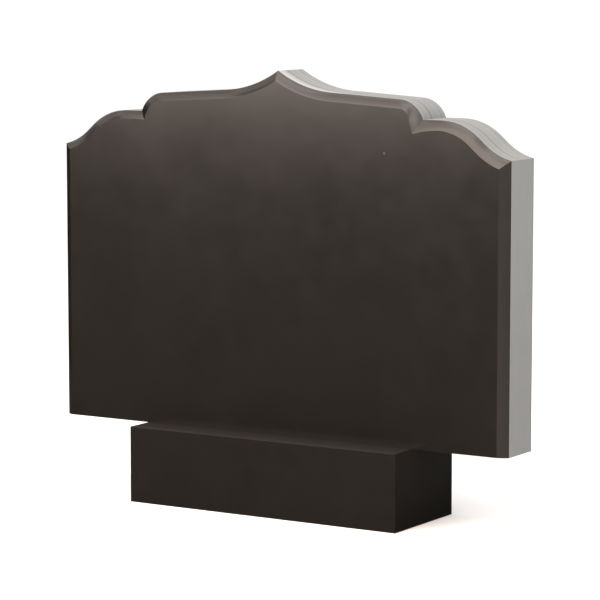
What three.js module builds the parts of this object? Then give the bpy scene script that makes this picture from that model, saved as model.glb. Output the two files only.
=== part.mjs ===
// Headstone of dark granite: an upright stele with an ornamental crest, standing on a plinth.
// Millimetres, +Z up. The front looks along -Y, and the origin is the middle of the plinth's underside.

import * as THREE from "three";

const PLINTH = {
  width: 600,
  depth: 220,
  height: 150,
  arris: 3,
};

const STELE = {
  width: 1000,
  height: 700,
  thickness: 100,
  arris: 1.5,
};

// The bevel round the front face, polished slightly round: how far it reaches in from the edge, how far it
// falls back there, and how many degrees it turns on the way.
const BEVEL = {
  width: 19,
  depth: 10,
  turn: 34,
  facets: 4,
};

// The crest, given for its right half. Distances are from the middle of the stele, heights are above its
// foot, and slopes are in degrees below level, going outwards.
const CREST = {
  runStart: 118,
  runStartHeight: 661,
  runEnd: 267,
  runSlope: 3.46,
  stepFoot: 315.5,
  shoulderHeight: 615.5,
  humpStart: 353,
  humpRadius: 120,
  humpSlope: 41,
  straight: 20,
  cornerHeight: 546,
};

// Longest side of a facet where the outline is round.
const FACET = 6;

const STONE = {
  stele: { color: 0x3a3530, roughness: 0.2, metalness: 0 },
  plinth: { color: 0x2e2a26, roughness: 0.2, metalness: 0 },
};

const radians = THREE.MathUtils.degToRad;
const degrees = THREE.MathUtils.radToDeg;
const vec = (x, y) => new THREE.Vector2(x, y);

// Unit vector that runs outwards along a slope, and the one that stands square on it.
const along = (slope) => vec(Math.cos(radians(slope)), -Math.sin(radians(slope)));
const squareTo = (slope) => vec(Math.sin(radians(slope)), Math.cos(radians(slope)));

// A round stretch of the crest. A full circle has the stone inside it, and a hollow one is cut out of the
// stone. Inset from the edge, a full circle is smaller and a hollow one larger, about the same centre.
class Round {
  constructor(centre, radius, side) {
    this.centre = centre;
    this.radius = radius;
    this.side = side;
  }

  // The circle that touches a line of the given slope at one point and passes through another.
  static touching(point, slope, through, side) {
    const chord = through.clone().sub(point);
    const toCentre = squareTo(slope).multiplyScalar(-side);
    const radius = chord.lengthSq() / (2 * toCentre.dot(chord));
    return new Round(point.clone().addScaledVector(toCentre, radius), radius, side);
  }

  at(slope, inset) {
    const reach = this.side * (this.radius - this.side * inset);
    return this.centre.clone().addScaledVector(squareTo(slope), reach);
  }

  // Slope of the inset circle where it crosses an upright line, and where it crosses a level.
  slopeAcross(x, inset) {
    return degrees(Math.asin((x - this.centre.x) / (this.side * this.radius - inset)));
  }

  slopeAtLevel(y, inset) {
    return degrees(Math.acos((y - this.centre.y) / (this.side * this.radius - inset)));
  }

  // Points from one slope to another. The number of facets comes from the stele's own edge, so that it is
  // the same at every inset.
  points(slopes, inset) {
    const [start, end] = slopes(0);
    const count = Math.ceil((this.radius * radians(Math.abs(end - start))) / FACET);
    const [from, to] = slopes(inset);
    return Array.from({ length: count + 1 }, (_, i) => this.at(THREE.MathUtils.lerp(from, to, i / count), inset));
  }
}

const FULL = 1;
const HOLLOW = -1;

// The right half of the outline, from the peak out to the corner, at a given inset from the edge: a hollow
// sweep down from the peak, a straight run, a round step down to the level shoulder, and an ogee.
function halfCrest(inset) {
  const edge = STELE.width / 2;
  const runStart = vec(CREST.runStart, CREST.runStartHeight);
  const runLength = (CREST.runEnd - CREST.runStart) / Math.cos(radians(CREST.runSlope));
  const runEnd = runStart.clone().addScaledVector(along(CREST.runSlope), runLength);
  const sweep = Round.touching(runStart, CREST.runSlope, vec(0, STELE.height), HOLLOW);
  const step = Round.touching(runEnd, CREST.runSlope, vec(CREST.stepFoot, CREST.shoulderHeight), FULL);

  const humpCentre = vec(CREST.humpStart, CREST.shoulderHeight - CREST.humpRadius);
  const hump = new Round(humpCentre, CREST.humpRadius, FULL);
  const toeStart = hump.at(CREST.humpSlope, 0).addScaledVector(along(CREST.humpSlope), CREST.straight);
  const toe = Round.touching(toeStart, CREST.humpSlope, vec(edge, CREST.cornerHeight), HOLLOW);

  return [
    ...sweep.points((d) => [sweep.slopeAcross(0, d), CREST.runSlope], inset),
    ...step.points((d) => [CREST.runSlope, step.slopeAtLevel(CREST.shoulderHeight - d, d)], inset),
    ...hump.points(() => [0, CREST.humpSlope], inset),
    ...toe.points((d) => [CREST.humpSlope, toe.slopeAcross(edge - d, d)], inset),
  ];
}

// The stele's outline, counter-clockwise as seen from the front. Its foot isn't inset.
function steleOutline(inset) {
  const foot = STELE.width / 2 - inset;
  const right = halfCrest(inset);
  const left = right.slice(1).map((point) => vec(-point.x, point.y));
  return [vec(foot, 0), ...right.reverse(), ...left, vec(-foot, 0)];
}

// The plinth's outline as seen from above, with its upright edges cut off.
function plinthOutline(inset) {
  const x = PLINTH.width / 2 - inset;
  const y = PLINTH.depth / 2 - inset;
  const cut = PLINTH.arris;
  const quarter = [vec(x, y - cut), vec(x - cut, y)];
  const turned = quarter.map((point) => vec(-point.x, point.y)).reverse();
  const rear = [...quarter, ...turned];
  return [...rear, ...rear.map((point) => point.clone().negate())];
}

// Closed solid through a stack of outlines with the same number of points, each counter-clockwise as seen
// from above, at rising heights.
function stack(layers) {
  const size = layers[0].outline.length;
  const vertices = layers.flatMap(({ outline, height }) => outline.flatMap((point) => [point.x, point.y, height]));
  const faces = [];
  for (let layer = 0; layer + 1 < layers.length; layer += 1) {
    for (let i = 0; i < size; i += 1) {
      const next = (i + 1) % size;
      const below = layer * size;
      const above = below + size;
      faces.push(below + i, below + next, above + i);
      faces.push(below + next, above + next, above + i);
    }
  }
  const top = (layers.length - 1) * size;
  for (const [a, b, c] of THREE.ShapeUtils.triangulateShape(layers.at(-1).outline, [])) {
    faces.push(top + a, top + b, top + c);
  }
  for (const [a, b, c] of THREE.ShapeUtils.triangulateShape(layers[0].outline, [])) {
    faces.push(c, b, a);
  }
  const geometry = new THREE.BufferGeometry();
  geometry.setAttribute("position", new THREE.Float32BufferAttribute(vertices, 3));
  geometry.setIndex(faces);
  return geometry;
}

// The bevel's section is an arc. Its steps run from the stele's edge to the flat of the front face.
function bevelLayers() {
  const middle = degrees(Math.atan(BEVEL.depth / BEVEL.width));
  const chord = Math.hypot(BEVEL.width, BEVEL.depth);
  const radius = chord / (2 * Math.sin(radians(BEVEL.turn / 2)));
  const outer = radians(middle + BEVEL.turn / 2);
  const inner = radians(middle - BEVEL.turn / 2);
  return Array.from({ length: BEVEL.facets + 1 }, (_, i) => {
    const angle = THREE.MathUtils.lerp(outer, inner, i / BEVEL.facets);
    const inset = radius * (Math.sin(outer) - Math.sin(angle));
    const rise = radius * (Math.cos(angle) - Math.cos(outer));
    return { outline: steleOutline(inset), height: STELE.thickness - BEVEL.depth + rise };
  });
}

// The stele is laid on its back to be stacked, then stood up with its middle over the plinth's.
function makeStele() {
  const geometry = stack([
    { outline: steleOutline(STELE.arris), height: 0 },
    { outline: steleOutline(0), height: STELE.arris },
    ...bevelLayers(),
  ]);
  geometry.rotateX(Math.PI / 2);
  geometry.translate(0, STELE.thickness / 2, 0);
  const stele = new THREE.Mesh(geometry, new THREE.MeshStandardMaterial(STONE.stele));
  stele.name = "stele";
  stele.position.z = PLINTH.height;
  return stele;
}

function makePlinth() {
  const geometry = stack([
    { outline: plinthOutline(0), height: 0 },
    { outline: plinthOutline(0), height: PLINTH.height - PLINTH.arris },
    { outline: plinthOutline(PLINTH.arris), height: PLINTH.height },
  ]);
  const plinth = new THREE.Mesh(geometry, new THREE.MeshStandardMaterial(STONE.plinth));
  plinth.name = "plinth";
  return plinth;
}

const headstone = new THREE.Group();
headstone.add(makePlinth(), makeStele());

export default headstone;
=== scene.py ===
"""Headstone of dark granite: an upright stele with an ornamental crest, standing on a plinth.

Metres, +Z up. The front looks along -Y, and the origin is the middle of the plinth's underside.
"""

import logging
import math
from dataclasses import dataclass, field
from enum import Enum
from typing import Any, Sequence

import bmesh
import bpy
import numpy as np
from mathutils import Euler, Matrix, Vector


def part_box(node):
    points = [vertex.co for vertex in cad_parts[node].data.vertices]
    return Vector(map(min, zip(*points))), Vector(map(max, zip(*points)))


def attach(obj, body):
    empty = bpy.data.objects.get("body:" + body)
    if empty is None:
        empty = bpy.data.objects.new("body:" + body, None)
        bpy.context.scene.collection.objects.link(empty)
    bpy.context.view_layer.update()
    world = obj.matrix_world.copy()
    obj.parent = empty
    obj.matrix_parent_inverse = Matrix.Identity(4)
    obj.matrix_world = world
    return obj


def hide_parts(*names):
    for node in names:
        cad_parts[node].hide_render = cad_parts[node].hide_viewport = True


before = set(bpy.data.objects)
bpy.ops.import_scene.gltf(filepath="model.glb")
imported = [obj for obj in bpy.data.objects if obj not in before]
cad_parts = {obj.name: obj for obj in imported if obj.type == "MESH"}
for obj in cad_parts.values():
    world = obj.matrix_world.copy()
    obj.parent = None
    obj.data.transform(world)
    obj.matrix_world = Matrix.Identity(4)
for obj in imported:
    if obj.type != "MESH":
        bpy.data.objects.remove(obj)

log = logging.getLogger("headstone")

Colour = tuple[float, float, float]
Point = tuple[float, float, float]

# A paler colour that is painted on the ledge as light, away from the stele.
PALE_PAINTED_LIGHT: Colour = (0.052, 0.047, 0.042)
CRYSTAL_SPECK: Colour = (0.14, 0.13, 0.11)
WARM: Colour = (1.0, 0.84, 0.74)

# A height above the whole stone.
ABOVE_ALL = 2.0

# Points nearer than this are one, and edges that turn more than this many degrees look sharp.
SAME_POINT = 2e-6
SHARP_TURN = 15.0

# Height at which the studio's cards lie over the floor.
CARD_LEVEL = 0.002


class Value:
    """A shader socket that can be reckoned with: each operator adds its Math node."""

    def __init__(self, graph: "Graph", socket: bpy.types.NodeSocket) -> None:
        """Wraps an output socket of one of the graph's nodes.

        Args:
            graph: The nodes that the socket belongs to.
            socket: The output socket.
        """
        self.graph = graph
        self.socket = socket

    def _with(self, operation: str, other: "Value | float", swapped: bool = False) -> "Value":
        """Adds one Math node on this value and another.

        Args:
            operation: The Math node's operation.
            other: The second value or number.
            swapped: Whether the other value comes first.

        Returns:
            The node's result.
        """
        pair = (other, self) if swapped else (self, other)
        return self.graph.node("ShaderNodeMath", {"operation": operation}, {0: pair[0], 1: pair[1]})

    def __add__(self, other: "Value | float") -> "Value":
        """The sum."""
        return self._with("ADD", other)

    __radd__ = __add__

    def __sub__(self, other: "Value | float") -> "Value":
        """The difference."""
        return self._with("SUBTRACT", other)

    def __rsub__(self, other: "Value | float") -> "Value":
        """The difference, the other way round."""
        return self._with("SUBTRACT", other, swapped=True)

    def __mul__(self, other: "Value | float") -> "Value":
        """The product."""
        return self._with("MULTIPLY", other)

    __rmul__ = __mul__

    def step(self, low: float, high: float) -> "Value":
        """Rises smoothly from 0 at low to 1 at high, or falls where high is the smaller.

        Args:
            low: Where the result is 0.
            high: Where the result is 1.

        Returns:
            The result, from 0 to 1.
        """
        settings = {"interpolation_type": "SMOOTHSTEP"}
        start, end, at_start, at_end = (low, high, 0.0, 1.0) if low < high else (high, low, 1.0, 0.0)
        sockets = {"Value": self, "From Min": start, "From Max": end, "To Min": at_start, "To Max": at_end}
        return self.graph.node("ShaderNodeMapRange", settings, sockets)


class Graph:
    """The nodes of one material."""

    def __init__(self, name: str) -> None:
        """Starts a material with no nodes.

        Args:
            name: The material's name.
        """
        self.material = bpy.data.materials.new(name)
        self.material.use_nodes = True
        self.tree = self.material.node_tree
        self.tree.nodes.clear()

    def node(
        self,
        kind: str,
        settings: dict[str, Any] | None = None,
        sockets: dict[str | int, Any] | None = None,
        result: str | int = 0,
    ) -> Value:
        """Adds a node.

        Args:
            kind: The node's type.
            settings: The node's own settings, which are set first.
            sockets: A value, colour or link for each named or numbered input.
            result: The output that is wanted.

        Returns:
            The wanted output.
        """
        made = self.tree.nodes.new(kind)
        for name, setting in (settings or {}).items():
            setattr(made, name, setting)
        for name, value in (sockets or {}).items():
            if isinstance(value, Value):
                self.tree.links.new(value.socket, made.inputs[name])
            elif isinstance(value, tuple) and len(value) == 3 and made.inputs[name].type == "RGBA":
                made.inputs[name].default_value = (*value, 1.0)
            else:
                made.inputs[name].default_value = value
        return Value(self, made.outputs[result])

    def place(self) -> Value:
        """The place on the object, in metres."""
        return self.node("ShaderNodeTexCoord", result="Object")

    def stretched(self, place: Value, scale: Point) -> Value:
        """A place whose axes are scaled one by one.

        Args:
            place: The place.
            scale: The factor along each axis.

        Returns:
            The scaled place.
        """
        return self.node("ShaderNodeMapping", {"vector_type": "POINT"}, {"Vector": place, "Scale": scale})

    def noise(self, place: Value, scale: float, detail: float = 2.0, roughness: float = 0.5) -> Value:
        """Noise from 0 to 1 about a middle of 0.5.

        Args:
            place: Where it is read.
            scale: How many bumps there are to a metre.
            detail: How many finer layers lie on it.
            roughness: How strong the finer layers are.

        Returns:
            The noise.
        """
        sockets = {"Vector": place, "Scale": scale, "Detail": detail, "Roughness": roughness}
        return self.node("ShaderNodeTexNoise", {"noise_dimensions": "3D"}, sockets)

    def blend(self, share: Value | float, first: Value | Colour, second: Value | Colour) -> Value:
        """A colour between two.

        Args:
            share: 0 for the first colour, 1 for the second.
            first: The first colour.
            second: The second colour.

        Returns:
            The colour between.
        """
        settings = {"data_type": "RGBA", "blend_type": "MIX"}
        return self.node("ShaderNodeMix", settings, {0: share, 6: first, 7: second}, result=2)

    def scaled(self, colour: Value, factor: Value) -> Value:
        """A colour made lighter or darker.

        Args:
            colour: The colour.
            factor: The factor for all three channels.

        Returns:
            The changed colour.
        """
        return self.node("ShaderNodeVectorMath", {"operation": "SCALE"}, {0: colour, "Scale": factor})

    def bump(self, height: Value, depth: float) -> Value:
        """The surface's direction under a fine relief.

        Args:
            height: The relief, from 0 to 1.
            depth: What a height of 1 measures, in metres.

        Returns:
            The direction.
        """
        return self.node("ShaderNodeBump", None, {"Height": height, "Distance": depth, "Strength": 1.0})

    def finish(self, sockets: dict[str, Any]) -> bpy.types.Material:
        """Ends the material with its shader.

        Args:
            sockets: What goes into the shader's inputs.

        Returns:
            The material.
        """
        shader = self.node("ShaderNodeBsdfPrincipled", None, sockets)
        output = self.tree.nodes.new("ShaderNodeOutputMaterial")
        self.tree.links.new(shader.socket, output.inputs["Surface"])
        return self.material


@dataclass(frozen=True)
class PolishedGranite:
    """Dark granite, polished to a soft shine.

    The colours are those of the ground and of its crystals. The speck is the place of one light crystal. The
    paler colour is painted light, at its greatest share towards the front and the rear, which leaves painted
    shade beside the stele in the middle; the squares are the squared distances from the middle between which
    it grows.
    Scales are in bumps to a metre.
    """

    name: str
    colour: Colour = (0.0068, 0.0059, 0.0051)
    crystal: Colour = (0.0136, 0.0121, 0.0107)
    roughness: float = 0.213
    specular: float = 0.5
    speck: Point | None = None
    painted_light: float = 0.0
    light_squares: tuple[float, float] = (0.002, 0.0121)
    cloud_scale: float = 7.0
    mottle_scale: float = 34.0
    grain_scale: float = 420.0
    relief_depth: float = 0.00003

    def material(self) -> bpy.types.Material:
        """Grains of a few millimetres lie in a dark ground, with faint clouds a hand wide over them.

        Painted light grows towards the front and the rear with the square of the distance from the middle,
        and leaves painted shade beside the stele.

        Returns:
            The material.
        """
        graph = Graph(self.name)
        place = graph.place()
        clouds = graph.noise(place, self.cloud_scale, 3.0, 0.6)
        mottle = graph.noise(place, self.mottle_scale, 4.0, 0.6)
        grain = graph.noise(place, self.grain_scale, 2.0, 0.6)
        crystals = grain.step(0.5, 0.75) * (0.3 + 0.4 * mottle)
        colour = graph.blend(crystals, self.colour, self.crystal)
        colour = graph.scaled(colour, 0.72 + 0.3 * clouds + 0.2 * mottle)
        # Painted light on the ledge: paler towards the front and the rear, so that it stays darker beside the
        # stele, a painted shade.
        if self.painted_light > 0:
            depth = graph.node("ShaderNodeSeparateXYZ", None, {0: place}, result="Y")
            colour = graph.blend(self.painted_light * (depth * depth).step(*self.light_squares), colour, PALE_PAINTED_LIGHT)
        if self.speck is not None:
            away = graph.node(
                "ShaderNodeVectorMath", {"operation": "DISTANCE"}, {0: place, 1: self.speck}, result="Value"
            )
            colour = graph.blend(0.3 * away.step(0.004, 0.001), colour, CRYSTAL_SPECK)
        roughness = self.roughness + 0.06 * (clouds - 0.5) + 0.05 * (mottle - 0.5) + 0.03 * (grain - 0.5)
        return graph.finish(
            {
                "Base Color": colour,
                "Roughness": roughness,
                "Specular IOR Level": self.specular,
                "Normal": graph.bump(1.3 * mottle + 0.4 * grain, self.relief_depth),
            }
        )


@dataclass(frozen=True)
class SawLine:
    """A dark line that the saw left along the crest, with its place from front to back."""

    depth: float
    half_width: float
    strength: float


@dataclass(frozen=True)
class GroundGranite:
    """Granite as the grinding wheel leaves it, light grey with the wheel's tracks in it.

    The tracks, a painted highlight in a band beside the front of the sweep, a painted shade in a line along
    the rear arris and a painted shade towards the foot are shares of the colour. The pair of places of such a
    share says where it is none and where it is full. The highlight's second pair holds squared distances from
    the middle. Above sawn_above the crest shows the saw's lines. Scales are in bumps to a metre.
    """

    name: str
    colour: Colour = (0.235, 0.245, 0.245)
    tracks: float = 0.34
    sweep_highlight: float = 0.5
    highlight_depths: tuple[float, float] = (-0.014, -0.024)
    highlight_squares: tuple[float, float] = (0.026, 0.012)
    rear_shade: float = 0.22
    rear_shade_depths: tuple[float, float] = (0.0445, 0.0475)
    foot_shade: float = 0.12
    shade_heights: tuple[float, float] = (0.65, 0.15)
    sawn_above: float = 0.694
    saw_lines: tuple[SawLine, ...] = (
        SawLine(-0.0055, 0.005, 0.3),
        SawLine(-0.026, 0.004, 0.16),
        SawLine(0.012, 0.003, 0.14),
        SawLine(0.034, 0.004, 0.18),
    )
    saw_wander: float = 0.004
    roughness: float = 0.62
    fine_scales: Point = (4.0, 420.0, 4.0)
    broad_scales: Point = (5.0, 85.0, 5.0)
    cloud_scale: float = 12.0
    grain_scale: float = 520.0
    wander_scale: float = 6.0
    relief_depth: float = 0.0002

    def material(self) -> bpy.types.Material:
        """The tracks run along the edge, so they are noise that is fine across the stone and long along it.

        Returns:
            The material.
        """
        graph = Graph(self.name)
        place = graph.place()
        across, depth, height = (
            graph.node("ShaderNodeSeparateXYZ", None, {0: place}, result=axis) for axis in ("X", "Y", "Z")
        )
        fine = graph.noise(graph.stretched(place, self.fine_scales), 1.0, 3.0, 0.6)
        broad = graph.noise(graph.stretched(place, self.broad_scales), 1.0, 2.0, 0.5)
        clouds = graph.noise(place, self.cloud_scale, 3.0, 0.6)
        grain = graph.noise(place, self.grain_scale, 2.0, 0.6)
        sawn = height.step(self.sawn_above, self.sawn_above + 0.006)
        light = 1.0 + self.tracks * (0.3 + 0.7 * sawn) * (0.45 * (fine - 0.5) + 0.8 * (broad - 0.5))
        light = light + 0.07 * sawn + 0.12 * (clouds - 0.5) + 0.14 * (grain - 0.5)
        # Painted shade: the colour is darker towards the foot.
        light = light - self.foot_shade * height.step(*self.shade_heights)
        wander = depth + self.saw_wander * (graph.noise(place, self.wander_scale) - 0.5)
        for line in self.saw_lines:
            away = wander - line.depth
            light = light - line.strength * sawn * (away * away).step(line.half_width**2, 0.0)
        # Painted highlight: a lighter band along the front of the crest's top beside the sweep.
        sweep_highlight_mask = (across * across).step(*self.highlight_squares)
        light = light + self.sweep_highlight * depth.step(*self.highlight_depths) * sweep_highlight_mask
        # Painted shade: a darker line along the rear arris.
        light = light - self.rear_shade * depth.step(*self.rear_shade_depths)
        darker = tuple(0.78 * channel for channel in self.colour)
        colour = graph.scaled(graph.blend(grain.step(0.56, 0.75), self.colour, darker), light)
        relief = 0.5 * fine + 0.3 * broad + 0.2 * grain
        return graph.finish(
            {
                "Base Color": colour,
                "Roughness": self.roughness + 0.2 * (fine - 0.5),
                "Specular IOR Level": 0.3,
                "Normal": graph.bump(relief, self.relief_depth),
            }
        )


class Finish(Enum):
    """What each surface of the stone is left as."""

    FACE = PolishedGranite("polished_face", speck=(0.2395, -0.05, 0.7017))
    EDGE = GroundGranite("ground_edge")
    BACK = GroundGranite(
        "ground_back",
        (0.245, 0.255, 0.255),
        tracks=0.12,
        sweep_highlight=0.0,
        rear_shade=0.0,
        sawn_above=ABOVE_ALL,
        saw_lines=(),
        roughness=0.68,
    )
    PLINTH = PolishedGranite(
        "polished_plinth", (0.0082, 0.0073, 0.0062), (0.015, 0.0136, 0.0119), roughness=0.36, specular=0.11
    )
    # The ledge's colour is lighter than the plinth's sides: painted light on the top.
    LEDGE = PolishedGranite(
        "ledge_painted_light",
        (0.0115, 0.0102, 0.009),
        (0.0195, 0.0178, 0.016),
        roughness=0.5,
        specular=0.05,
        painted_light=0.19,
    )


class Shell:
    """A closed solid that is put together from surfaces, each worked out on a grid."""

    def __init__(self, name: str, finishes: Sequence[Finish]) -> None:
        """Starts an empty shell.

        Args:
            name: The piece's name.
            finishes: The finishes that its surfaces may have.
        """
        self.name = name
        self.finishes = list(finishes)
        self.points: list[np.ndarray] = []
        self.faces: list[np.ndarray] = []
        self.slots: list[np.ndarray] = []
        self.count = 0

    def add(self, grid: np.ndarray, finish: Finish | np.ndarray, closed: bool = False) -> None:
        """Adds a surface.

        Args:
            grid: Points in rows and columns, an array of rows by columns by 3.
            finish: The finish of the whole surface, or the number of the finish for each face.
            closed: Whether the last column joins the first.
        """
        rows, columns = grid.shape[:2]
        index = self.count + np.arange(rows * columns).reshape(rows, columns)
        if closed:
            index = np.concatenate([index, index[:, :1]], axis=1)
        quads = np.stack([index[:-1, :-1], index[:-1, 1:], index[1:, 1:], index[1:, :-1]], axis=-1)
        slots = self.finishes.index(finish) if isinstance(finish, Finish) else finish
        self.points.append(grid.reshape(-1, 3))
        self.faces.append(quads.reshape(-1, 4))
        self.slots.append(np.broadcast_to(slots, quads.shape[:2]).reshape(-1))
        self.count += rows * columns

    def make(self) -> bpy.types.Object:
        """Joins the surfaces where they meet, turns them outwards and gives them their finishes.

        Returns:
            The piece.
        """
        mesh = bpy.data.meshes.new(self.name)
        mesh.from_pydata(np.concatenate(self.points).tolist(), [], np.concatenate(self.faces).tolist())
        mesh.polygons.foreach_set("material_index", np.concatenate(self.slots).astype(np.int32))
        for finish in self.finishes:
            mesh.materials.append(finish.value.material())
        shape = bmesh.new()
        shape.from_mesh(mesh)
        bmesh.ops.remove_doubles(shape, verts=shape.verts, dist=SAME_POINT)
        bmesh.ops.recalc_face_normals(shape, faces=shape.faces)
        open_edges = sum(1 for edge in shape.edges if len(edge.link_faces) != 2)
        shape.to_mesh(mesh)
        shape.free()
        mesh.shade_smooth()
        mesh.set_sharp_from_angle(angle=math.radians(SHARP_TURN))
        piece = bpy.data.objects.new(self.name, mesh)
        bpy.context.scene.collection.objects.link(piece)
        weighted = piece.modifiers.new("even_faces", "WEIGHTED_NORMAL")
        weighted.mode = "FACE_AREA"
        weighted.weight = 50
        weighted.keep_sharp = True
        log.info("%s: %d faces, %d open edges", self.name, len(mesh.polygons), open_edges)
        return piece


def along(slope: np.ndarray) -> np.ndarray:
    """Unit vectors that run outwards down a slope: its cosine to the side and its sine down.

    Args:
        slope: Degrees below level.

    Returns:
        The vectors, with x and z last.
    """
    angle = np.radians(slope)
    return np.stack([np.cos(angle), -np.sin(angle)], axis=-1)


def square_to(slope: np.ndarray) -> np.ndarray:
    """Unit vectors that stand square on a slope and point out of the stone.

    Args:
        slope: Degrees below level.

    Returns:
        The vectors, with x and z last.
    """
    angle = np.radians(slope)
    return np.stack([np.sin(angle), np.cos(angle)], axis=-1)


@dataclass(frozen=True)
class Round:
    """A round stretch of the crest.

    A full one has the stone inside its circle, and a hollow one is cut out of the stone.
    """

    centre: np.ndarray
    radius: float
    side: int

    @staticmethod
    def touching(point: np.ndarray, slope: float, through: np.ndarray, side: int) -> "Round":
        """The circle that touches a line of a given slope at one point and passes through another.

        Its radius is the square of the chord over twice the chord's reach towards the centre.

        Args:
            point: Where the circle touches the line.
            slope: The line's slope, in degrees below level.
            through: The other point.
            side: 1 for a full circle, -1 for a hollow one.

        Returns:
            The circle.
        """
        chord = through - point
        to_centre = -side * square_to(np.asarray(slope))
        radius = float(chord @ chord / (2 * to_centre @ chord))
        return Round(point + radius * to_centre, radius, side)

    def at(self, slope: np.ndarray, inset: np.ndarray) -> np.ndarray:
        """Points of the circle that is drawn in by an inset about the same centre.

        Args:
            slope: The slope at each point, in degrees.
            inset: The inset at each point.

        Returns:
            The points, with x and z last.
        """
        reach = self.side * self.radius - inset
        return self.centre + square_to(slope) * np.asarray(reach)[..., None]

    def slope_across(self, x: np.ndarray, inset: np.ndarray) -> np.ndarray:
        """The slope where the inset circle crosses an upright line: the arc sine of offset over reach."""
        return np.degrees(np.arcsin((x - self.centre[0]) / (self.side * self.radius - inset)))

    def slope_at_level(self, z: np.ndarray, inset: np.ndarray) -> np.ndarray:
        """The slope where the inset circle crosses a level: the arc cosine of the offset over the reach."""
        return np.degrees(np.arccos((z - self.centre[1]) / (self.side * self.radius - inset)))


FULL, HOLLOW = 1, -1


def stretch(start: np.ndarray, end: np.ndarray, count: int) -> np.ndarray:
    """Evenly spaced values or points from start to end, as a new axis after the first.

    Args:
        start: The first value or point of each layer.
        end: The last one.
        count: How many steps lie between.

    Returns:
        The values or points.
    """
    return np.moveaxis(np.linspace(start, end, count + 1), 0, 1)


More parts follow.
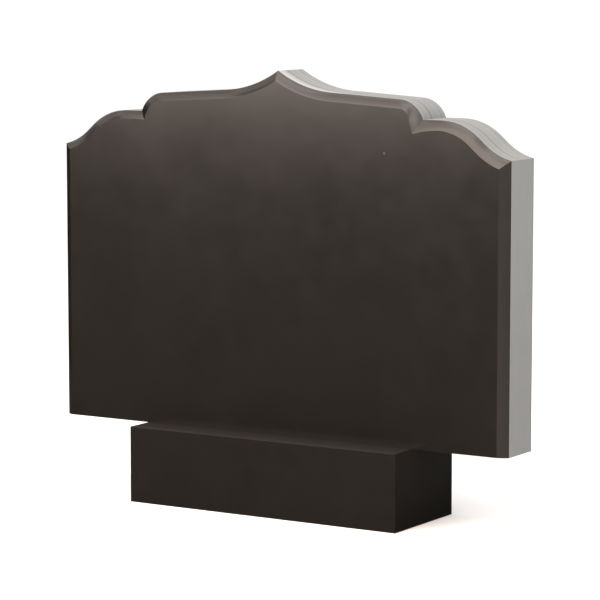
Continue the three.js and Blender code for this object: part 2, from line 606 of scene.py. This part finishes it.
@dataclass
class Crest:
    """The top of the stele: a hollow sweep from the peak, a run, a round step, a level shoulder and an ogee.

    Distances are from the middle, heights above the foot, and slopes in degrees below level going outwards.
    The inner tip, slope and round shape the bevel's inner edge where the step was finished by hand. The
    widths are the bevel's, at the peak and after each part, and the counts are the steps of each part.
    """

    half_width: float = 0.5
    peak: float = 0.7
    run_start: float = 0.118
    run_start_height: float = 0.661
    run_end: float = 0.267
    run_slope: float = 3.46
    step_foot: float = 0.3155
    shoulder_height: float = 0.6155
    hump_start: float = 0.353
    hump_radius: float = 0.12
    hump_slope: float = 41.0
    straight: float = 0.02
    corner_height: float = 0.546
    inner_tip: tuple[float, float] = (0.2985, 0.589)
    inner_slope: float = 74.0
    inner_round: float = 0.02
    bevel_width: float = 0.019
    right_widths: tuple[float, ...] = (0.0163, 0.0163, 0.0163, 0.0187, 0.0187, 0.0203, 0.0203, 0.0203)
    left_widths: tuple[float, ...] = (0.0163, 0.0163, 0.0157, 0.014, 0.0153, 0.0157, 0.0157, 0.0157)
    counts: tuple[int, ...] = (46, 24, 40, 26, 42, 8, 34)

    def hand_finished(self, run_point: np.ndarray) -> np.ndarray:
        """The bevel's inner edge round the step where it was finished by hand: a round, then a straight.

        The round touches the run's inner edge and the straight, so it starts and ends at its radius over the
        tangent of half the angle between them from where they cross.

        Args:
            run_point: A point on the run's inner edge.

        Returns:
            Points by x and z.
        """
        tip = np.array(self.inner_tip)
        level, steep = along(np.asarray(self.run_slope)), along(np.asarray(self.inner_slope))
        way = np.linalg.solve(np.stack([level, steep], axis=1), tip - run_point)
        cross = run_point + way[0] * level
        turn = math.radians(self.inner_slope - self.run_slope)
        back = self.inner_round * math.tan(turn / 2)
        lengths = (self.inner_round * turn, way[1] - back)
        travelled = np.linspace(0.0, sum(lengths), self.counts[2] + 1)
        slope = self.run_slope + np.degrees(np.minimum(travelled, lengths[0]) / self.inner_round)
        centre = cross - back * level - self.inner_round * square_to(np.asarray(self.run_slope))
        rest = np.maximum(travelled - lengths[0], 0.0)
        return centre + self.inner_round * square_to(slope) + rest[:, None] * steep

    def half(self, inset: np.ndarray, hand: float, widths: Sequence[float]) -> np.ndarray:
        """The right half of the crest, from the peak to the corner, once for each layer.

        The bevel's width goes evenly from one join of the crest to the next, and each layer is drawn in by
        its share of it. Where the corner at the step was finished by hand, the inner edge dips on the
        shoulder towards the corner with the square of the distance left.

        Args:
            inset: How far each layer is drawn in from the edge where the bevel has its usual width.
            hand: How much of the hand-finished corner this side has, from 0 to 1.
            widths: The bevel's width at the peak and after each part of the crest.

        Returns:
            Layers by points by x and z.
        """
        run_start = np.array([self.run_start, self.run_start_height])
        run_length = (self.run_end - self.run_start) / math.cos(math.radians(self.run_slope))
        run_end = run_start + run_length * along(np.asarray(self.run_slope))
        sweep = Round.touching(run_start, self.run_slope, np.array([0.0, self.peak]), HOLLOW)
        foot = np.array([self.step_foot, self.shoulder_height])
        step = Round.touching(run_end, self.run_slope, foot, FULL)
        hump_centre = np.array([self.hump_start, self.shoulder_height - self.hump_radius])
        hump = Round(hump_centre, self.hump_radius, FULL)
        drop = self.straight * along(np.asarray(self.hump_slope))
        toe_start = hump.at(np.asarray(self.hump_slope), np.asarray(0.0)) + drop
        corner = np.array([self.half_width, self.corner_height])
        toe = Round.touching(toe_start, self.hump_slope, corner, HOLLOW)

        share = inset / self.bevel_width
        drawn = [
            share[:, None] * np.linspace(*ends, count + 1)
            for *ends, count in zip(widths, widths[1:], self.counts)
        ]
        run = np.full_like(inset, self.run_slope)
        steep = np.full_like(inset, self.hump_slope)
        level = np.zeros_like(inset)
        sweep_slopes = stretch(sweep.slope_across(level, drawn[0][:, 0]), run, self.counts[0])
        sweep_points = sweep.at(sweep_slopes, drawn[0])

        ends = np.array([0.0, widths[3]])
        lowest = step.slope_at_level(self.shoulder_height - ends, ends)
        slopes = np.linspace(self.run_slope, lowest, self.counts[2] + 1).T
        inner_inset = np.linspace(widths[2], widths[3], self.counts[2] + 1)
        outer, inner = step.at(slopes, np.stack([np.zeros_like(inner_inset), inner_inset]))
        inner = inner * (1 - hand) + self.hand_finished(inner[0]) * hand
        step_points = outer + (inner - outer) * share[:, None, None]

        hump_points = hump.at(stretch(level, steep, self.counts[4]), drawn[4])
        corner_inset = drawn[6][:, -1]
        corner_slope = toe.slope_across(self.half_width - corner_inset, corner_inset)
        toe_slopes = stretch(steep, corner_slope, self.counts[6])
        toe_points = toe.at(toe_slopes, drawn[6])
        shoulder_points = stretch(step_points[:, -1], hump_points[:, 0], self.counts[3])
        left = np.linspace(1.0, 0.0, self.counts[3] + 1)
        dip = hand * (self.shoulder_height - widths[3] - self.inner_tip[1]) * share[:, None]
        shoulder_points[..., 1] = self.shoulder_height - drawn[3] - dip * left**2
        parts = [
            sweep_points,
            stretch(sweep_points[:, -1], step_points[:, 0], self.counts[1]),
            step_points,
            shoulder_points,
            hump_points,
            stretch(hump_points[:, -1], toe_points[:, 0], self.counts[5]),
            toe_points,
        ]
        return np.concatenate([parts[0], *[part[:, 1:] for part in parts[1:]]], axis=1)

    def whole(self, inset: np.ndarray, left_hand: float) -> np.ndarray:
        """The crest from the left corner to the right one.

        Args:
            inset: How far each layer is drawn in.
            left_hand: How much of the hand-finished corner the left side has.

        Returns:
            Layers by points by x and z.
        """
        right = self.half(inset, 1.0, self.right_widths)
        left = self.half(inset, left_hand, self.left_widths)[:, :0:-1] * np.array([-1.0, 1.0])
        return np.concatenate([left, right], axis=1)


@dataclass
class Stele:
    """The upright slab with its crest and its bevelled front edge.

    The front arris reaches front_share of what the rear one does. The bevel's points that lie within
    clearance times the front arris's inset are left out.
    """

    thickness: float = 0.1
    stands_at: float = 0.15
    bevel_depth: float = 0.01
    bevel_turn: float = 20.0
    bevel_steps: int = 14
    arris: float = 0.0012
    arris_steps: int = 7
    front_share: float = 0.6
    clearance: float = 1.2
    left_hand: float = 0.25
    rows: int = 26
    crest: Crest = field(default_factory=Crest)

    def section(self) -> tuple[np.ndarray, np.ndarray, np.ndarray]:
        """The section of the slab's edge, from the back face round to the front face.

        The arrises and the bevel are arcs: the inset grows with the sine of the angle turned, the depth with
        its cosine. The front arris touches the edge and the bevel, so its radius is its reach over the
        tangent of half the corner's turn.

        Returns:
            The inset of each layer, its place from front to back, and which strips are polished.
        """
        half = self.thickness / 2
        turn = np.linspace(0.0, math.pi / 2, self.arris_steps + 1)
        back_inset = self.arris * (1 - np.sin(turn))
        back_depth = half - self.arris * (1 - np.cos(turn))

        width = self.crest.bevel_width
        middle = math.atan(self.bevel_depth / width)
        chord = math.hypot(width, self.bevel_depth)
        half_turn = math.radians(self.bevel_turn) / 2
        radius = chord / (2 * math.sin(half_turn))
        angle = np.linspace(middle + half_turn, middle - half_turn, self.bevel_steps + 1)
        bevel_inset = radius * (math.sin(angle[0]) - np.sin(angle))
        bevel_depth = -half + self.bevel_depth - radius * (np.cos(angle) - math.cos(angle[0]))

        corner = math.pi / 2 - angle[0]
        reach = self.front_share * self.arris
        soft = reach / math.tan(corner / 2)
        lean = np.linspace(0.0, corner, self.arris_steps + 1)
        front_inset = soft * (1 - np.cos(lean))
        front_depth = bevel_depth[0] + reach - soft * np.sin(lean)
        keep = bevel_inset > self.clearance * front_inset[-1]
        inset = np.concatenate([back_inset, front_inset, bevel_inset[keep]])
        depth = np.concatenate([back_depth, front_depth, bevel_depth[keep]])
        polished = np.zeros(len(inset) - 1, dtype=bool)
        polished[len(back_inset) + 1 :] = True
        return inset, depth, polished

    def build(self) -> bpy.types.Object:
        """Makes the slab: a band round its edge, and a face on each side in columns from foot to crest.

        Each column's points lie at even shares of the crest's height there.

        Returns:
            The piece.
        """
        inset, depth, polished = self.section()
        top = self.crest.whole(inset, self.left_hand)
        share = np.linspace(0.0, 1.0, self.rows + 1)[None, :, None]
        x = np.broadcast_to(top[:, None, :, 0], (len(inset), self.rows + 1, top.shape[1]))
        z = share * top[:, None, :, 1] + self.stands_at
        y = np.broadcast_to(depth[:, None, None], x.shape)
        layers = np.stack([x, y, z], axis=-1)

        foot, right = layers[:, 0, :-1], layers[:, :-1, -1]
        crest, left = layers[:, -1, :0:-1], layers[:, :0:-1, 0]
        band = np.concatenate([foot, right, crest, left], axis=1)
        shell = Shell("stele_stone", [Finish.FACE, Finish.EDGE, Finish.BACK])
        face, edge = (shell.finishes.index(finish) for finish in (Finish.FACE, Finish.EDGE))
        slots = np.where(polished, face, edge)[:, None] * np.ones(band.shape[1], dtype=int)
        slots[:, : foot.shape[1]] = edge
        shell.add(band, slots, closed=True)
        shell.add(layers[0], Finish.BACK)
        shell.add(layers[-1], Finish.FACE)
        return shell.make()


@dataclass
class Plinth:
    """The block under the stele."""

    width: float = 0.6
    depth: float = 0.22
    height: float = 0.15
    softness: float = 0.0014
    spacing: float = 0.02
    arc_steps: int = 4

    def lines(self, half: float) -> np.ndarray:
        """Where the grid's lines cross one axis: even on the flat, and at even angles on the softened edge.

        Args:
            half: Half of the block's size along the axis.

        Returns:
            The places, from -half to half.
        """
        core = half - self.softness
        flat = np.linspace(-core, core, max(2, round(2 * core / self.spacing)) + 1)
        turn = np.radians(np.linspace(0.0, 45.0, self.arc_steps + 1))[1:]
        edge = core + self.softness * np.tan(turn)
        return np.concatenate([-edge[::-1], flat, edge])

    def side(self, axis: int, end: int) -> np.ndarray:
        """One side of the block.

        Each point of the sharp block is drawn towards an inner block, smaller by the softness all round,
        until it is exactly that far from it.

        Args:
            axis: The axis that the side stands across.
            end: 1 for the far side, -1 for the near one.

        Returns:
            The side's grid.
        """
        half = np.array([self.width, self.depth, self.height]) / 2
        first, second = [i for i in range(3) if i != axis]
        u, v = np.meshgrid(self.lines(half[first]), self.lines(half[second]), indexing="ij")
        sharp = np.empty((*u.shape, 3))
        sharp[..., axis] = end * half[axis]
        sharp[..., first] = u
        sharp[..., second] = v
        inner = np.clip(sharp, -(half - self.softness), half - self.softness)
        away = sharp - inner
        soft = inner + self.softness * away / np.linalg.norm(away, axis=-1, keepdims=True)
        return soft + np.array([0.0, 0.0, half[2]])

    def build(self) -> bpy.types.Object:
        """Makes the block from its six sides.

        Returns:
            The piece.
        """
        shell = Shell("plinth_stone", [Finish.PLINTH, Finish.LEDGE])
        for axis in range(3):
            for end in (-1, 1):
                shell.add(self.side(axis, end), Finish.LEDGE if (axis, end) == (2, 1) else Finish.PLINTH)
        return shell.make()


@dataclass(frozen=True)
class Softbox:
    """A flat soft light and the point that it faces."""

    name: str
    place: Point
    aim: Point
    size: tuple[float, float]
    radiance: float

    def build(self) -> bpy.types.Object:
        """Makes the light. Its power is its radiance times its area times pi.

        Returns:
            The light.
        """
        data = bpy.data.lights.new(self.name, "AREA")
        data.shape = "RECTANGLE"
        data.size, data.size_y = self.size
        data.energy = self.radiance * self.size[0] * self.size[1] * math.pi
        data.color = WARM
        light = bpy.data.objects.new(self.name, data)
        light.location = self.place
        towards = Vector(self.aim) - Vector(self.place)
        light.rotation_euler = towards.to_track_quat("-Z", "Y").to_euler()
        light.visible_camera = False
        bpy.context.scene.collection.objects.link(light)
        return light


def flat_sheet(name: str, corners: Sequence[Point], material: bpy.types.Material) -> bpy.types.Object:
    """A flat sheet of the studio, which isn't part of the stone.

    Args:
        name: The sheet's name.
        corners: Its corners, in order.
        material: What it is made of.

    Returns:
        The sheet.
    """
    mesh = bpy.data.meshes.new(name)
    mesh.from_pydata(list(corners), [], [tuple(range(len(corners)))])
    mesh.materials.append(material)
    sheet = bpy.data.objects.new(name, mesh)
    bpy.context.scene.collection.objects.link(sheet)
    return sheet


@dataclass(frozen=True)
class Card:
    """A card that only the polish mirrors. It takes no light from the stone or the floor."""

    name: str
    corners: tuple[Point, ...]
    shade: Colour

    def build(self) -> bpy.types.Object:
        """Makes the card.

        Returns:
            The card.
        """
        graph = Graph(self.name)
        matt = graph.finish({"Base Color": self.shade, "Roughness": 1.0, "Specular IOR Level": 0.0})
        card = flat_sheet(self.name, self.corners, matt)
        card.visible_camera = False
        card.visible_diffuse = False
        card.visible_transmission = False
        card.visible_volume_scatter = False
        card.visible_shadow = False
        return card


def over_floor(*outline: tuple[float, float]) -> tuple[Point, ...]:
    """The corners of a card that lies just over the floor."""
    return tuple((x, y, CARD_LEVEL) for x, y in outline)


@dataclass
class Studio:
    """The floor, the light and the camera."""

    floor_colour: Colour = (0.95, 0.95, 0.95)
    floor_reach: float = 400.0
    sky: float = 0.42
    sun_strength: float = 2.1
    sun_angle: float = 75.0
    sun_turn: tuple[float, float] = (6.0, 8.0)
    camera_place: Point = (2.843315, -4.542758, 1.043252)
    camera_turn: tuple[float, float] = (90.0 - 6.767, 31.821)
    lens: float = 167.859
    sensor_width: float = 36.0
    clip: tuple[float, float] = (0.05, 1000.0)
    boxes: tuple[Softbox, ...] = (
        Softbox("low_left_panel", (-1.725, -2.9, 1.0625), (-1.725, 0.0, 1.0625), (2.35, 0.575), 10.2),
        Softbox("low_right_panel", (0.225, -2.9, 1.075), (0.225, 0.0, 1.075), (1.55, 0.55), 3.4),
        Softbox("front_right_panel", (0.05, -2.9, 2.475), (0.05, 0.0, 2.475), (1.9, 2.25), 6.0),
        Softbox("front_middle_panel", (-1.5, -2.9, 2.475), (-1.5, 0.0, 2.475), (1.2, 2.25), 5.4),
        Softbox("front_left_panel", (-2.75, -2.9, 2.475), (-2.75, 0.0, 2.475), (1.3, 2.25), 3.8),
        Softbox("right_panel", (2.1, -2.2, 1.95), (0.3, 0.0, 1.95), (2.6, 2.4), 2.6),
        Softbox("left_panel", (-2.7, 0.075, 2.6), (0.0, 0.075, 2.6), (1.65, 1.9), 0.9),
        Softbox("left_front_panel", (-2.7, -1.075, 2.6), (0.0, -1.075, 2.6), (0.65, 1.9), 1.5),
        Softbox("high_front_panel", (-0.275, -2.25, 3.6), (-0.275, -2.25, 0.0), (3.75, 1.3), 3.4),
        Softbox("high_left_panel", (-2.7, -2.25, 3.6), (-2.7, -2.25, 0.0), (1.1, 1.3), 2.3),
        Softbox("high_back_panel", (-0.125, -0.65, 3.6), (-0.125, -0.65, 0.0), (3.45, 1.9), 1.8),
        Softbox("high_far_panel", (-2.425, -0.65, 3.6), (-2.425, -0.65, 0.0), (1.15, 1.9), 1.1),
    )
    cards: tuple[Card, ...] = (
        Card(
            "dark_card_low",
            over_floor((-40.0, -40.0), (-12.5, -40.0), (0.45, -0.05), (0.45, 40.0), (-40.0, 40.0)),
            (0.045, 0.043, 0.04),
        ),
        Card(
            "grey_card_low",
            over_floor((0.45, -0.05), (-0.48, -3.0), (40.0, -3.0), (40.0, -0.05)),
            (0.43, 0.40, 0.38),
        ),
        Card(
            "grey_card_far",
            over_floor((-0.48, -3.0), (-12.5, -40.0), (40.0, -40.0), (40.0, -3.0)),
            (0.7, 0.65, 0.62),
        ),
        Card(
            "dark_card_right",
            over_floor((0.45, -0.05), (40.0, -0.05), (40.0, 40.0), (0.45, 40.0)),
            (0.14, 0.131, 0.123),
        ),
        Card(
            "dark_card_left",
            ((-2.2, -1.5, 0.0), (-2.2, 3.2, 0.0), (-2.2, 3.2, 1.25), (-2.2, -1.5, 1.25)),
            (0.0, 0.0, 0.0),
        ),
    )

    def build(self) -> None:
        """Makes the floor, the lights and the camera."""
        scene = bpy.context.scene
        scene.view_settings.view_transform = "Standard"
        world = bpy.data.worlds.new("studio")
        scene.world = world
        world.use_nodes = True
        background = world.node_tree.nodes["Background"]
        background.inputs["Color"].default_value = (1.0, 1.0, 1.0, 1.0)
        background.inputs["Strength"].default_value = self.sky

        sun = bpy.data.lights.new("overhead", "SUN")
        sun.energy = self.sun_strength
        sun.angle = math.radians(self.sun_angle)
        lamp = bpy.data.objects.new("overhead", sun)
        lamp.rotation_euler = Euler((*np.radians(self.sun_turn), 0.0))
        scene.collection.objects.link(lamp)
        for box in self.boxes:
            box.build()
        for card in self.cards:
            card.build()
        pale = Graph("pale_floor").finish(
            {"Base Color": self.floor_colour, "Roughness": 1.0, "Specular IOR Level": 0.0}
        )
        reach = self.floor_reach
        corners = ((-reach, -reach, 0.0), (reach, -reach, 0.0), (reach, reach, 0.0), (-reach, reach, 0.0))
        flat_sheet("floor", corners, pale)

        data = bpy.data.cameras.new("camera")
        data.lens = self.lens
        data.sensor_width = self.sensor_width
        data.clip_start, data.clip_end = self.clip
        camera = bpy.data.objects.new("camera", data)
        camera.location = self.camera_place
        camera.rotation_euler = (math.radians(self.camera_turn[0]), 0.0, math.radians(self.camera_turn[1]))
        scene.collection.objects.link(camera)
        scene.camera = camera
        log.info("studio: %d soft lights, %d cards", len(self.boxes), len(self.cards))


def place_piece(piece: bpy.types.Object, node: str) -> None:
    """Puts a finished piece in the place of its CAD node.

    Args:
        piece: The finished piece.
        node: The node that it replaces.
    """
    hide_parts(node)
    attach(piece, "root")
    low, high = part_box(node)
    own = np.array([corner[:] for corner in piece.bound_box])
    log.info("%s: own box %s to %s, node box %s to %s", piece.name, own.min(0), own.max(0), low[:], high[:])


def main() -> None:
    """Builds the studio and the two stones."""
    logging.basicConfig(level=logging.INFO, format="%(name)s: %(message)s")
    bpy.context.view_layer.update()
    Studio().build()
    place_piece(Stele().build(), "stele")
    place_piece(Plinth().build(), "plinth")
    bpy.context.view_layer.update()


if __name__ == "__main__":
    main()
